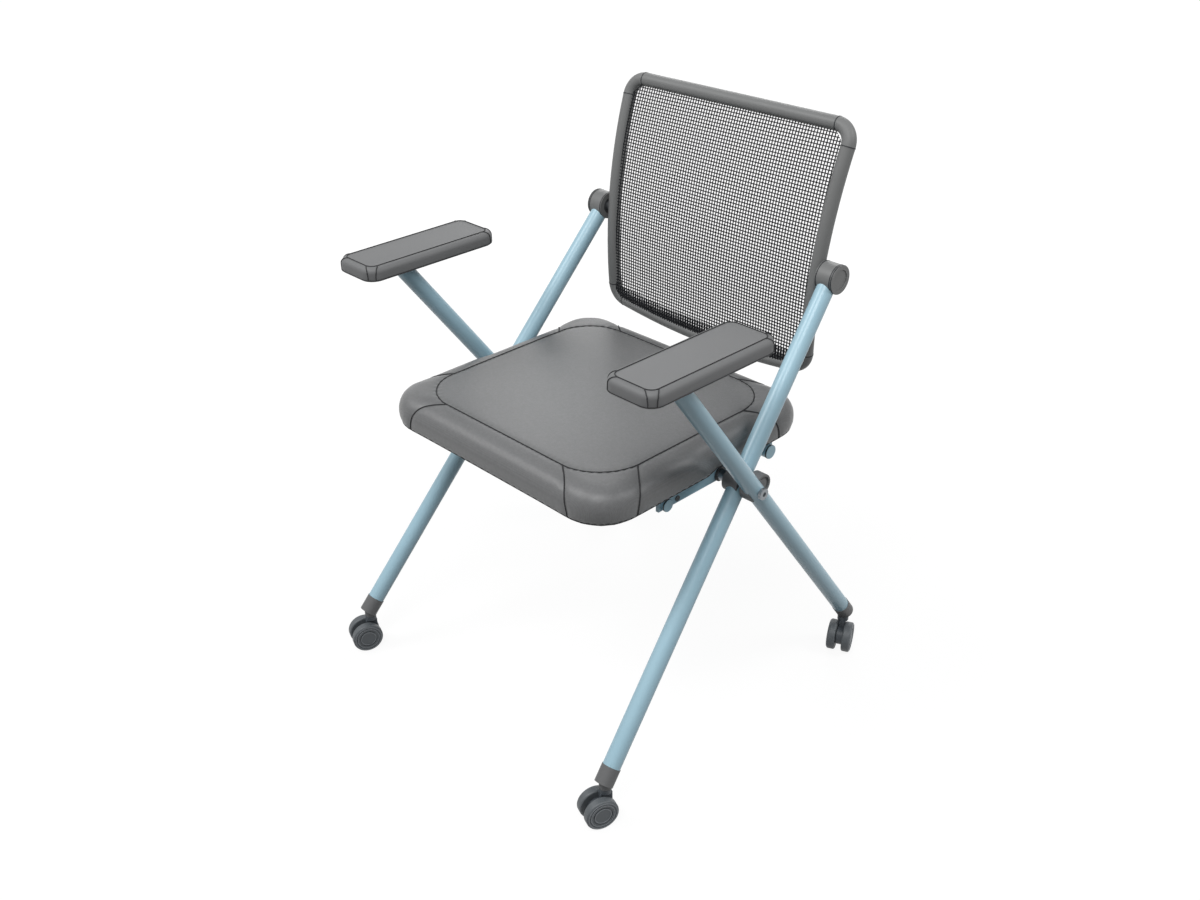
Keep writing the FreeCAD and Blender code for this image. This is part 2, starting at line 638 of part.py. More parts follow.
def caster_fork():
    """Web between the wheels with a round neck, swivel axis on Z, axle along X."""
    half = FORK_T / 2
    eye = x_rod(-half, half, FORK_EYE_R, -TRAIL, WHEEL_R)
    column = block(-half, half, -BOSS_R, BOSS_R, WHEEL_R, NECK_FOOT_Z)
    neck = rod(V(0, 0, NECK_FOOT_Z), V(0, 0, BOSS_FOOT_Z - GAP), BOSS_R)
    fork = eye.fuse([column, neck]).removeSplitter()
    fork = fork.cut(rod(V(0, 0, STEM_FOOT_Z - GAP), V(0, 0, BOSS_FOOT_Z), STEM_R + FIT))
    return fork.cut(x_rod(-half, half, SPINDLE_R + FIT, -TRAIL, WHEEL_R))


WHEEL_IN = FORK_T / 2 + WHEEL_SIDE_GAP
WHEEL_OUT = WHEEL_IN + WHEEL_W


def caster_spindle():
    half = WHEEL_OUT - HUB_SKIN - GAP
    return x_rod(-half, half, SPINDLE_R, -TRAIL, WHEEL_R)


def caster_wheel(side):
    """Wheel with rounded tread edges, ring grooves and a closed hub face."""
    wheel = x_rod(side * WHEEL_IN, side * WHEEL_OUT, WHEEL_R, -TRAIL, WHEEL_R)
    rims = [e for e in wheel.Edges if e.Curve.TypeId == "Part::GeomCircle"]
    wheel = wheel.makeFillet(WHEEL_EDGE, rims)
    for inset in RING_INSETS:
        outer = WHEEL_R - inset
        wheel = wheel.cut(x_ring(side * (WHEEL_OUT - RING_DEPTH), side * WHEEL_OUT,
                                 outer, outer - RING_W, -TRAIL, WHEEL_R))
    return wheel.cut(x_rod(0, side * (WHEEL_OUT - HUB_SKIN), SPINDLE_R + FIT, -TRAIL, WHEEL_R))


def place_caster(shape, end, side_name):
    """Caster piece turned as it stands and set under its leg."""
    swivel = leg_foot(end, SIDES[side_name])[2]
    placed = shape.copy()
    placed.rotate(V(0, 0, 0), Z, CASTER_TURN[end + "_" + side_name])
    placed.translate(V(swivel.x, swivel.y, 0))
    return placed


def group(shapes):
    return Part.makeCompound(list(shapes))


def build():
    """Every piece by name, with depths from the pivot axis."""
    both = SIDES.values()
    frame = back_loop(BACK_TUBE_R)
    parts = {"cross_axle": cross_axle(), "back_frame": frame, "back_mesh": back_net(),
             "seat_cushion": seat_cushion(), "seat_pan": seat_pan(), "stop_rod": stop_rod()}
    bars = {"front_bar": (FRONT_BAR_Y, FRONT_BAR_R, FRONT_BAR_PROUD),
            "rear_bar": (REAR_BAR_Y, REAR_BAR_R, REAR_BAR_PROUD)}
    for name, sizes in bars.items():
        parts[name] = seat_bar(*sizes)
    parts["bar_caps"] = group(bar_cap(s, *sizes) for s in both for sizes in bars.values())
    parts["pan_screws"] = group(pan_screw(x, y) for x, y in pan_screw_spots())
    parts["arm_screws"] = group(arm_screw(s, y) for s in both for y in ARM_SCREW_YS)
    parts["pivot_bolts"] = group(pivot_bolt(s) for s in both)
    parts["pivot_spacers"] = group(spacer(s) for s in both)
    parts["hinge_bushes"] = group(hinge_bush(s) for s in both)
    parts["rail_bushes"] = group(rail_bush(s) for s in both)
    paired = {"front_tube": front_tube, "front_hub": front_hub, "hinge_drum": hinge_drum,
              "drum_cap": drum_cap, "seat_stop": seat_stop, "rear_tube": rear_tube,
              "rear_hub": rear_hub, "arm_plate": arm_plate, "arm_pad": arm_pad,
              "seat_rail": seat_rail}
    for side_name, side in SIDES.items():
        for name, make in paired.items():
            parts[name + "_" + side_name] = make(side)
        parts["back_pin_" + side_name] = back_pin(side, frame)
    fork, spindle = caster_fork(), caster_spindle()
    wheels = {"inner": -1, "outer": 1}
    for end in LEGS:
        parts[end + "_stems"] = group(caster_stem(end, s) for s in both)
        for side_name, side in SIDES.items():
            place = end + "_" + side_name
            parts[place + "_socket"] = caster_socket(end, side)
            parts[place + "_fork"] = place_caster(fork, end, side_name)
            parts[place + "_spindle"] = place_caster(spindle, end, side_name)
            for wheel_name, facing in wheels.items():
                wheel = caster_wheel(facing * side)
                parts[place + "_wheel_" + wheel_name] = place_caster(wheel, end, side_name)
    return parts


def to_floor_centre(parts):
    """Shift that puts the origin on the floor, under the middle of the chair's plan box."""
    box = group(parts.values()).optimalBoundingBox(False, False)
    return V(-box.Center.x, -box.Center.y, -box.ZMin)


PARTS = build()
SHIFT = to_floor_centre(PARTS)
os.makedirs("parts", exist_ok=True)
for node, shape in PARTS.items():
    shape.translate(SHIFT)
    shape.exportStep("parts/" + node + ".step")
print("pieces", len(PARTS), "origin shift", SHIFT)
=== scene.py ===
import math

import bmesh
import bpy
import numpy as np
from mathutils import Matrix, Vector


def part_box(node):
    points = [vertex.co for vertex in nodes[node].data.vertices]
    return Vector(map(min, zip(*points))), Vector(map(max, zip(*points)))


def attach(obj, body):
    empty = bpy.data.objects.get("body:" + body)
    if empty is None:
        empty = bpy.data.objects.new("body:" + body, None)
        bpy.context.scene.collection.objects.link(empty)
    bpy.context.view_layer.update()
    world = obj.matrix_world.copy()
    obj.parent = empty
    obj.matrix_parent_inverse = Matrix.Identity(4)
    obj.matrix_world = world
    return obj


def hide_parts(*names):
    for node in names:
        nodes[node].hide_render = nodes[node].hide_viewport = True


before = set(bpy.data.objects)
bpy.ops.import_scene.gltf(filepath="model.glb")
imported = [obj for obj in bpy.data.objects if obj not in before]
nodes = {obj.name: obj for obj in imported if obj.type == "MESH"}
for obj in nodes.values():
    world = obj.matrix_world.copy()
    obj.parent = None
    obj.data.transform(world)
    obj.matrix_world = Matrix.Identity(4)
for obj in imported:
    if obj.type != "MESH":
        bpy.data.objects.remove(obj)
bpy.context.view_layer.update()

SIDES = {"left": -1, "right": 1}
CORNERS = ("front_left", "front_right", "rear_left", "rear_right")

# All sizes are in metres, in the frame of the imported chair.
TOUCH = 1e-5

# Seat cushion, its top seam and the seams at its corners.
SEAT_HALF_W = 0.2255
SEAT_FRONT_Y = -0.2185
SEAT_BACK_Y = 0.1995
SEAT_FOOT_Z = 0.4055
SEAT_TOP_Z = 0.4545
SEAT_CORNER_R = 0.057
SEAT_SHOULDER = 0.0270
SEAT_FOOT_ROUND = 0.015
SEAT_SWELL = 0.002
SEAT_VOXEL = 0.005
SEAT_HELD_H = 0.006
FILL_PRESSURE = 4
FILL_FRAMES = 20
PANEL_HALF_W = 0.1845
PANEL_FRONT_Y = -0.1799
PANEL_BACK_Y = 0.1601
PANEL_CORNER_R = 0.068
SEAM_R = 0.0010
SEAM_LIFT = 0.0004
SEAM_DIP = 0.0012
SEAM_DIP_REACH = 0.0045
SEAM_CHUNK = 40
SEAM_LOOP_OVER = 0.02
PIPING_UP = 0.002
CORNER_SEAM_LEAN = 0.85
CORNER_SEAM_REACH = 0.058
PIVOT_Y = 0.027165
PIVOT_Z = 0.391
WAIST_IN = 0.0065
WAIST_FRONT_LEAN = 0.85
WAIST_BACK_LEAN = 1.28
WAIST_EASE = 0.030
SKIRT_W = 0.0200
SKIRT_TOP_Z = 0.4160
AXLE_NOTCH = (0.0097, 0.0447, 0.4087)
CUT_MARGIN = 0.01

# Arm pads.
PAD_CORNER_R = 0.020
PAD_TOP_ROUND = 0.0085
PAD_FOOT_ROUND = 0.0025
PAD_SEAM_R = 0.0007
PAD_LOOP_OVER = 0.01
PAD_CORNER_UP = 0.002
PAD_CORNER_REACH = 0.022
POCKET_PLAY = 0.0004

# Back net, laid out flat and then bent to the back's curve.
CURVE_Y = 0.93957
CURVE_Z = 0.539
NET_R = 0.724
NET_PITCH = 0.0048
STRAND_W = 0.0015
STRAND_T = 0.0008
WEAVE_RISE = 0.0004
NET_SIDE_X = 0.1830
NET_SIDE_SLOPE = 0.0339
NET_TOP_Z = 0.8018
NET_FOOT_Z = 0.4660
NET_DIP_X = 0.080
NET_DIP_SLOPE = 0.1027
NET_CORNER_IN = 0.0146
NET_FOOT_PUSH = 0.0045
NET_PUSH_REACH = 0.060
HEM_H = 0.025

# Back frame's bends, hinge drums, bars and pivot barrels.
BACK_TUBE_R = 0.010
BACK_R = 0.720
BACK_FLARE = math.radians(2)
HINGE_Y = 0.224136
HINGE_Z = 0.620
UPRIGHT_X = 0.1933
TOP_TUBE = (0.1752, 0.2717, 0.8093)
TOP_BEND_Z = 0.785
FOOT_RAIL = (0.1676, 0.2218, 0.4751)
FOOT_BEND_Z = 0.4985
DRUM_R = 0.0202
DRUM_RING_XS = (0.2062, 0.2285, 0.2310)
BAR_RING_OUT = 0.0014
BARREL_AT = (0.2585, 0.0399, 0.3941)
BARREL_R = 0.0155
BARREL_LONG = 0.016
BARREL_RIM = 0.0035
BARREL_RECESS = 0.0025
BARREL_GROOVE = 0.0030
BARREL_BUTTON = 0.0015
BARREL_EDGE = 0.0006
RING_W = 0.0015
RING_T = 0.0006
WHEEL_RINGS = (0.0205, 0.0170, 0.0115)
WHEEL_RING_T = 0.0014
WHEEL_RING_SINK = 0.0003
WHEEL_FACE_PLAY = 0.0005
LEG_END = 0.02
SLEEVE_MOUTH = 0.01
SLEEVE_RING_DOWN = 0.001

# Camera, solved from the photograph, for a picture 1200 wide.
CAMERA_AT = (1.1355, -1.0986, 1.2598)
CAMERA_AZIMUTH = math.radians(45.95)
CAMERA_ELEVATION = math.radians(29.75)
CAMERA_ROLL = math.radians(-0.61)
CAMERA_LENS = 37.80
SENSOR_W = 36

# Depths of the bumps in the finishes.
GRAIN_DEPTH = 0.0004
THREAD_DEPTH = 0.0002
PEBBLE_DEPTH = 0.0003

# Studio.
FLOOR_SIZE = 40
FLOOR_GREY = 0.12
FLOOR_NEAR = 0.6
FLOOR_FAR = 2.2
FLOOR_NEAR_WHITE = 0.91
WORLD_LIGHT = 0.19
LAMP_AIM = (0, 0, 0.4)


# Modelling helpers.
def only(piece):
    """Make one piece the selected and active object."""
    bpy.ops.object.select_all(action="DESELECT")
    piece.select_set(True)
    bpy.context.view_layer.objects.active = piece


def start_editing(piece):
    only(piece)
    bpy.ops.object.mode_set(mode="EDIT")
    bpy.ops.mesh.select_all(action="DESELECT")


def stop_editing():
    bpy.ops.object.mode_set(mode="OBJECT")


def pick(piece, kind, wanted):
    """Select the vertices, edges or faces of an edited piece that pass a test."""
    bpy.ops.mesh.select_all(action="DESELECT")
    bpy.ops.mesh.select_mode(type=kind)
    form = bmesh.from_edit_mesh(piece.data)
    items = {"VERT": form.verts, "EDGE": form.edges, "FACE": form.faces}[kind]
    for item in items:
        if wanted(item):
            item.select_set(True)
    bmesh.update_edit_mesh(piece.data)


def take_new(name):
    """Name the object that an operator has just added, and put its place in its mesh."""
    piece = bpy.context.object
    piece.name = name
    bpy.ops.object.transform_apply(location=True, rotation=True, scale=True)
    return piece


def block(name, low, high):
    """A box between two corners."""
    bpy.ops.object.select_all(action="DESELECT")
    middle = [(a + b) / 2 for a, b in zip(low, high)]
    bpy.ops.mesh.primitive_cube_add(size=1, location=middle)
    bpy.context.object.scale = [b - a for a, b in zip(low, high)]
    return take_new(name)


def apply_modifiers(piece):
    only(piece)
    for modifier in list(piece.modifiers):
        bpy.ops.object.modifier_apply(modifier=modifier.name)


def points(piece):
    found = np.empty(len(piece.data.vertices) * 3, np.float32)
    piece.data.vertices.foreach_get("co", found)
    return found.reshape(-1, 3).astype(float)


def set_points(piece, places):
    piece.data.vertices.foreach_set("co", np.ascontiguousarray(places, np.float32).ravel())
    piece.data.update()


def smooth(piece, angle=40):
    only(piece)
    bpy.ops.object.shade_smooth_by_angle(angle=math.radians(angle))


def join(name, pieces):
    bpy.ops.object.select_all(action="DESELECT")
    for piece in pieces:
        piece.select_set(True)
    bpy.context.view_layer.objects.active = pieces[0]
    bpy.ops.object.join()
    pieces[0].name = name
    return pieces[0]


def is_upright(edge):
    a, b = edge.verts
    return abs(a.co.x - b.co.x) < TOUCH and abs(a.co.y - b.co.y) < TOUCH


def is_level_at(height):
    return lambda edge: all(abs(v.co.z - height) < TOUCH for v in edge.verts)


def rounded_block(name, low, high, corner, top_round, foot_round):
    """A pad's first shape: a box with round corners in plan and round edges."""
    piece = block(name, low, high)
    start_editing(piece)
    pick(piece, "EDGE", is_upright)
    bpy.ops.mesh.bevel(offset=corner, segments=12, affect="EDGES")
    for height, size, steps in ((high[2], top_round, 8), (low[2], foot_round, 6)):
        pick(piece, "EDGE", is_level_at(height))
        bpy.ops.mesh.bevel(offset=size, segments=steps, affect="EDGES")
    stop_editing()
    return piece


def swell(piece, voxel, cap, held_below):
    """Remesh a pad, fill it with cloth pressure, and keep each point near where it was."""
    even = piece.modifiers.new("even_mesh", "REMESH")
    even.mode = "VOXEL"
    even.voxel_size = voxel
    apply_modifiers(piece)
    rest = points(piece)
    held = piece.vertex_groups.new(name="held")
    held.add(np.flatnonzero(rest[:, 2] < held_below).tolist(), 1.0, "REPLACE")
    fill = piece.modifiers.new("fill", "CLOTH")
    fill.settings.use_pressure = True
    fill.settings.uniform_pressure_force = FILL_PRESSURE
    fill.settings.effector_weights.gravity = 0
    fill.settings.vertex_group_mass = "held"
    for moment in range(1, FILL_FRAMES + 1):
        bpy.context.scene.frame_set(moment)
    shown = piece.evaluated_get(bpy.context.evaluated_depsgraph_get())
    filled = points(shown)
    piece.modifiers.remove(fill)
    bpy.context.scene.frame_set(1)
    piece.vertex_groups.clear()
    move = filled - rest
    far = np.linalg.norm(move, axis=1, keepdims=True)
    set_points(piece, rest + move * np.minimum(1, cap / np.maximum(far, 1e-9)))


def soften(piece, times):
    ease = piece.modifiers.new("ease", "SMOOTH")
    ease.iterations = times
    apply_modifiers(piece)


def refine(piece):
    finer = piece.modifiers.new("finer", "SUBSURF")
    finer.levels = 1
    finer.render_levels = 1
    apply_modifiers(piece)


def cut_away(piece, low, high, corner=0):
    """Take a box, with round upright corners if asked, out of a piece."""
    cutter = block("cutter", low, high)
    if corner:
        start_editing(cutter)
        pick(cutter, "EDGE", is_upright)
        bpy.ops.mesh.bevel(offset=corner, segments=12, affect="EDGES")
        stop_editing()
    cut = piece.modifiers.new("cut", "BOOLEAN")
    cut.object = cutter
    cut.operation = "DIFFERENCE"
    apply_modifiers(piece)
    bpy.data.objects.remove(cutter)


def lay_on(piece, target, straight_down=False):
    """Lay a line of edges on a pad's surface."""
    wrap = piece.modifiers.new("lay", "SHRINKWRAP")
    wrap.target = target
    wrap.offset = SEAM_LIFT
    if straight_down:
        wrap.wrap_method = "PROJECT"
        wrap.use_project_z = True
        wrap.use_negative_direction = True
        wrap.use_positive_direction = True
    apply_modifiers(piece)


def sewn_cord(piece, radius):
    """Turn a line of edges into a round sewn cord."""
    only(piece)
    bpy.ops.object.convert(target="CURVE")
    piece = bpy.context.object
    piece.data.bevel_depth = radius
    piece.data.bevel_resolution = 2
    piece.data.use_fill_caps = True
    bpy.ops.object.convert(target="MESH")
    return bpy.context.object


def outline(name, low, high, height, corner):
    """A level loop of edges with round corners."""
    bpy.ops.object.select_all(action="DESELECT")
    middle = ((low[0] + high[0]) / 2, (low[1] + high[1]) / 2, height)
    bpy.ops.mesh.primitive_plane_add(size=1, location=middle)
    bpy.context.object.scale = (high[0] - low[0], high[1] - low[1], 1)
    loop = take_new(name)
    start_editing(loop)
    bpy.ops.mesh.select_all(action="SELECT")
    bpy.ops.mesh.bevel(offset=corner, segments=10, affect="VERTICES")
    bpy.ops.mesh.select_all(action="SELECT")
    bpy.ops.mesh.delete(type="ONLY_FACE")
    pick(loop, "EDGE", lambda edge: edge.calc_length() > corner)
    bpy.ops.mesh.subdivide(number_cuts=24)
    stop_editing()
    return loop


def corner_line(name, start, outward, reach):
    """A quarter arc of edges over a pad's shoulder, from the panel seam to the foot."""
    bpy.ops.object.select_all(action="DESELECT")
    outward = Vector((outward[0], outward[1], 0)).normalized()
    turn = math.atan2(outward.y, outward.x)
    bpy.ops.mesh.primitive_circle_add(
        vertices=80, radius=reach, location=start, rotation=(math.pi / 2, 0, turn)
    )
    line = take_new(name)
    start = Vector(start)
    start_editing(line)
    pick(
        line,
        "VERT",
        lambda v: (v.co - start).dot(outward) < -TOUCH or v.co.z < start.z - TOUCH,
    )
    bpy.ops.mesh.delete(type="VERT")
    stop_editing()
    return line


def corner_lines(low, high, corner, foot, reach):
    """Two lines at each corner of a panel, where its corner arcs start and end."""
    lines = []
    for side, edge_x in ((-1, low[0]), (1, high[0])):
        for end, edge_y in ((-1, low[1]), (1, high[1])):
            outward = (side, end * CORNER_SEAM_LEAN)
            across = (edge_x - side * corner, edge_y, foot)
            along = (edge_x, edge_y - end * corner, foot)
            lines.append(corner_line("corner_seam", across, outward, reach))
            lines.append(corner_line("corner_seam", along, outward, reach))
    return lines


def sew_in(pad, lines):
    """Draw a pad's surface in along its seams."""
    seam = np.concatenate([points(line) for line in lines])
    skin = points(pad)
    inward = np.empty(len(pad.data.vertices) * 3, np.float32)
    pad.data.vertices.foreach_get("normal", inward)
    inward = -inward.reshape(-1, 3)
    gap = np.full(len(skin), np.inf)
    for chunk in np.array_split(seam, max(1, len(seam) // SEAM_CHUNK)):
        away = np.linalg.norm(skin[:, None, :] - chunk[None, :, :], axis=2)
        gap = np.minimum(gap, away.min(axis=1))
    dip = SEAM_DIP * np.exp(-((gap / SEAM_DIP_REACH) ** 2))
    set_points(pad, skin + inward * dip[:, None])


def sew(name, pad, lines, radius, material, body):
    """Make the cords of a pad's seams from their lines, as one piece."""
    for line in lines:
        lay_on(line, pad)
    cords = join(name, [sewn_cord(line, radius) for line in lines])
    smooth(cords, 60)
    finish_with(cords, material)
    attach(cords, body)


def face_outward(piece):
    start_editing(piece)
    bpy.ops.mesh.select_all(action="SELECT")
    bpy.ops.mesh.remove_doubles(threshold=1e-6)
    bpy.ops.mesh.normals_make_consistent(inside=False)
    stop_editing()


def ring(centre, axis, radius, thick=RING_T):
    """A thin joint ring round an axis."""
    bpy.ops.object.select_all(action="DESELECT")
    axis = Vector(axis).normalized()
    bpy.ops.mesh.primitive_circle_add(
        vertices=48,
        radius=radius,
        location=Vector(centre) - axis * RING_W / 2,
        rotation=axis.to_track_quat("Z", "Y").to_euler(),
    )
    piece = take_new("ring")
    start_editing(piece)
    bpy.ops.mesh.select_all(action="SELECT")
    bpy.ops.mesh.extrude_region_move(TRANSFORM_OT_translate={"value": axis * RING_W})
    stop_editing()
    wall = piece.modifiers.new("wall", "SOLIDIFY")
    wall.thickness = thick
    wall.offset = 0
    apply_modifiers(piece)
    face_outward(piece)
    return piece


def ring_set(name, rings, body, material=None):
    piece = join(name, rings)
    smooth(piece, 40)
    finish_with(piece, material or joint_shadow)
    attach(piece, body)


# Material helpers.
def srgb(red, green, blue):
    """A screen colour, 0 to 255, as the linear colour that a shader reads."""
    def linear(value):
        value /= 255
        return value / 12.92 if value <= 0.04045 else ((value + 0.055) / 1.055) ** 2.4
    return (linear(red), linear(green), linear(blue), 1)


def add_group(name, inputs, outputs):
    """A shader node group with its sockets, and its two end nodes."""
    tree = bpy.data.node_groups.new(name, "ShaderNodeTree")
    for label, kind, start in inputs:
        socket = tree.interface.new_socket(label, in_out="INPUT", socket_type="NodeSocket" + kind)
        socket.default_value = start
    for label, kind in outputs:
        tree.interface.new_socket(label, in_out="OUTPUT", socket_type="NodeSocket" + kind)
    return tree, tree.nodes.new("NodeGroupInput"), tree.nodes.new("NodeGroupOutput")


def add_noise(tree, where, size, detail):
    grain = tree.nodes.new("ShaderNodeTexNoise")
    grain.inputs["Scale"].default_value = size
    grain.inputs["Detail"].default_value = detail
    tree.links.new(where, grain.inputs["Vector"])
    return grain.outputs["Fac"]


def add_spread(tree, value, low, high):
    """Spread a 0 to 1 value to another range."""
    spread = tree.nodes.new("ShaderNodeMapRange")
    spread.inputs["From Min"].default_value = 0.3
    spread.inputs["From Max"].default_value = 0.7
    tree.links.new(value, spread.inputs["Value"])
    tree.links.new(low, spread.inputs["To Min"])
    tree.links.new(high, spread.inputs["To Max"])
    return spread.outputs["Result"]


def add_mix(tree, share, first, second):
    mix = tree.nodes.new("ShaderNodeMix")
    mix.data_type = "RGBA"
    tree.links.new(share, mix.inputs["Factor"])
    tree.links.new(first, mix.inputs["A"])
    tree.links.new(second, mix.inputs["B"])
    return mix.outputs["Result"]


def add_math(tree, kind, first, second):
    step = tree.nodes.new("ShaderNodeMath")
    step.operation = kind
    for socket, value in zip(step.inputs, (first, second)):
        if isinstance(value, (int, float)):
            socket.default_value = value
        else:
            tree.links.new(value, socket)
    return step.outputs["Value"]


def surface_group():
    """Uneven colour, uneven gloss and a fine grain, for paint and moulded plastic."""
    tree, start, end = add_group(
        "uneven_surface",
        [
            ("Colour", "Color", (0.5, 0.5, 0.5, 1)),
            ("Worn colour", "Color", (0.6, 0.6, 0.6, 1)),
            ("Low roughness", "Float", 0.4),
            ("High roughness", "Float", 0.5),
        ],
        [("Colour", "Color"), ("Roughness", "Float"), ("Height", "Float")],
    )
    where = tree.nodes.new("ShaderNodeTexCoord").outputs["Object"]
    broad = add_noise(tree, where, 14, 3)
    fine = add_noise(tree, where, 900, 2)
    tree.links.new(
        add_mix(tree, broad, start.outputs["Colour"], start.outputs["Worn colour"]),
        end.inputs["Colour"],
    )
    tree.links.new(
        add_spread(tree, broad, start.outputs["Low roughness"], start.outputs["High roughness"]),
        end.inputs["Roughness"],
    )
    tree.links.new(fine, end.inputs["Height"])
    return tree


def weave_group():
    """Threads that cross at right angles, with a mottled yarn."""
    tree, start, end = add_group(
        "woven_cloth",
        [
            ("Yarn", "Color", (0.2, 0.2, 0.2, 1)),
            ("Light yarn", "Color", (0.3, 0.3, 0.3, 1)),
            ("Thread count", "Float", 400),
        ],
        [("Colour", "Color"), ("Height", "Float")],
    )
    where = tree.nodes.new("ShaderNodeTexCoord").outputs["Object"]
    threads = []
    for axis in ("X", "Y"):
        wave = tree.nodes.new("ShaderNodeTexWave")
        wave.bands_direction = axis
        wave.inputs["Distortion"].default_value = 1.2
        wave.inputs["Detail Scale"].default_value = 2
        tree.links.new(where, wave.inputs["Vector"])
        tree.links.new(start.outputs["Thread count"], wave.inputs["Scale"])
        threads.append(wave.outputs["Fac"])
    height = add_math(tree, "MULTIPLY", threads[0], threads[1])
    mottle = add_noise(tree, where, 260, 4)
    share = add_math(tree, "ADD", add_math(tree, "MULTIPLY", height, 0.45), mottle)
    tree.links.new(
        add_mix(
            tree,
            add_math(tree, "SUBTRACT", share, 0.35),
            start.outputs["Yarn"],
            start.outputs["Light yarn"],
        ),
        end.inputs["Colour"],
    )
    tree.links.new(height, end.inputs["Height"])
    return tree


def skin_group():
    """Fine pebbled grain of a moulded foam skin."""
    tree, start, end = add_group(
        "pebbled_skin",
        [("Skin", "Color", (0.2, 0.2, 0.2, 1)), ("Light skin", "Color", (0.3, 0.3, 0.3, 1))],
        [("Colour", "Color"), ("Roughness", "Float"), ("Height", "Float")],
    )
    where = tree.nodes.new("ShaderNodeTexCoord").outputs["Object"]
    cells = tree.nodes.new("ShaderNodeTexVoronoi")
    cells.inputs["Scale"].default_value = 700
    tree.links.new(where, cells.inputs["Vector"])
    broad = add_noise(tree, where, 30, 3)
    tree.links.new(
        add_mix(tree, broad, start.outputs["Skin"], start.outputs["Light skin"]),
        end.inputs["Colour"],
    )
    rough = tree.nodes.new("ShaderNodeMapRange")
    rough.inputs["To Min"].default_value = 0.48
    rough.inputs["To Max"].default_value = 0.66
    tree.links.new(broad, rough.inputs["Value"])
    tree.links.new(rough.outputs["Result"], end.inputs["Roughness"])
    tree.links.new(cells.outputs["Distance"], end.inputs["Height"])
    return tree


def new_material(name, group, values, bump, distance):
    """A material whose colour, gloss and bump come from one of the groups."""
    material = bpy.data.materials.new(name)
    material.use_nodes = True
    tree = material.node_tree
    shader = tree.nodes["Principled BSDF"]
    effect = tree.nodes.new("ShaderNodeGroup")
    effect.node_tree = group
    for label, value in values.items():
        effect.inputs[label].default_value = value
    tree.links.new(effect.outputs["Colour"], shader.inputs["Base Color"])
    if "Roughness" in effect.outputs:
        tree.links.new(effect.outputs["Roughness"], shader.inputs["Roughness"])
    relief = tree.nodes.new("ShaderNodeBump")
    relief.inputs["Strength"].default_value = bump
    relief.inputs["Distance"].default_value = distance
    tree.links.new(effect.outputs["Height"], relief.inputs["Height"])
    tree.links.new(relief.outputs["Normal"], shader.inputs["Normal"])
    return material, shader


uneven_surface = surface_group()
woven_cloth = weave_group()
pebbled_skin = skin_group()


def surface(name, colour, worn, roughness, bump=0.15):
    return new_material(
        name,
        uneven_surface,
        {
            "Colour": colour,
            "Worn colour": worn,
            "Low roughness": roughness[0],
            "High roughness": roughness[1],
        },
        bump,
        GRAIN_DEPTH,
    )


tube_paint, tube_shader = surface(
    "tube_paint", srgb(164, 202, 219), srgb(172, 207, 222), (0.36, 0.46), 0.06
)
tube_shader.inputs["Coat Weight"].default_value = 0.25
tube_shader.inputs["Coat Roughness"].default_value = 0.2
hub_plastic, _ = surface("hub_plastic", srgb(98, 99, 100), srgb(106, 107, 108), (0.45, 0.58))
back_plastic, _ = surface("back_plastic", srgb(112, 113, 113), srgb(120, 121, 121), (0.42, 0.55))
pan_plastic, _ = surface("pan_plastic", srgb(58, 61, 64), srgb(66, 69, 72), (0.5, 0.65), 0.3)
wheel_plastic, _ = surface("wheel_plastic", srgb(88, 93, 97), srgb(96, 101, 105), (0.42, 0.56))
wheel_line, _ = surface("wheel_line", srgb(132, 137, 142), srgb(142, 147, 152), (0.42, 0.56))
fork_plastic, _ = surface("fork_plastic", srgb(70, 76, 82), srgb(78, 84, 90), (0.42, 0.56))
bush_plastic, _ = surface("bush_plastic", srgb(46, 48, 50), srgb(54, 56, 58), (0.4, 0.5))
joint_shadow, _ = surface("joint_shadow", srgb(30, 32, 35), srgb(38, 40, 43), (0.5, 0.65))
steel, steel_shader = surface("steel", srgb(128, 132, 136), srgb(142, 146, 150), (0.3, 0.45), 0.05)
steel_shader.inputs["Metallic"].default_value = 1
seat_cloth, seat_shader = new_material(
    "seat_cloth",
    woven_cloth,
    {"Yarn": srgb(101, 102, 103), "Light yarn": srgb(119, 120, 121), "Thread count": 260},
    0.25,
    GRAIN_DEPTH,
)
seat_shader.inputs["Roughness"].default_value = 0.38
seat_shader.inputs["Sheen Weight"].default_value = 0.15
net_cord, net_shader = new_material(
    "net_cord",
    woven_cloth,
    {"Yarn": srgb(10, 12, 16), "Light yarn": srgb(26, 28, 34), "Thread count": 900},
    0.3,
    THREAD_DEPTH,
)
net_shader.inputs["Roughness"].default_value = 0.75
net_shader.inputs["Specular IOR Level"].default_value = 0.25
seam_thread, seam_shader = new_material(
    "seam_thread",
    woven_cloth,
    {"Yarn": srgb(18, 19, 21), "Light yarn": srgb(34, 35, 38), "Thread count": 700},
    0.3,
    THREAD_DEPTH,
)
seam_shader.inputs["Roughness"].default_value = 0.7
pad_skin, _ = new_material(
    "pad_skin",
    pebbled_skin,
    {"Skin": srgb(103, 104, 105), "Light skin": srgb(113, 114, 115)},
    0.12,
    PEBBLE_DEPTH,
)


def finish_with(piece, material):
    piece.data.materials.clear()
    piece.data.materials.append(material)


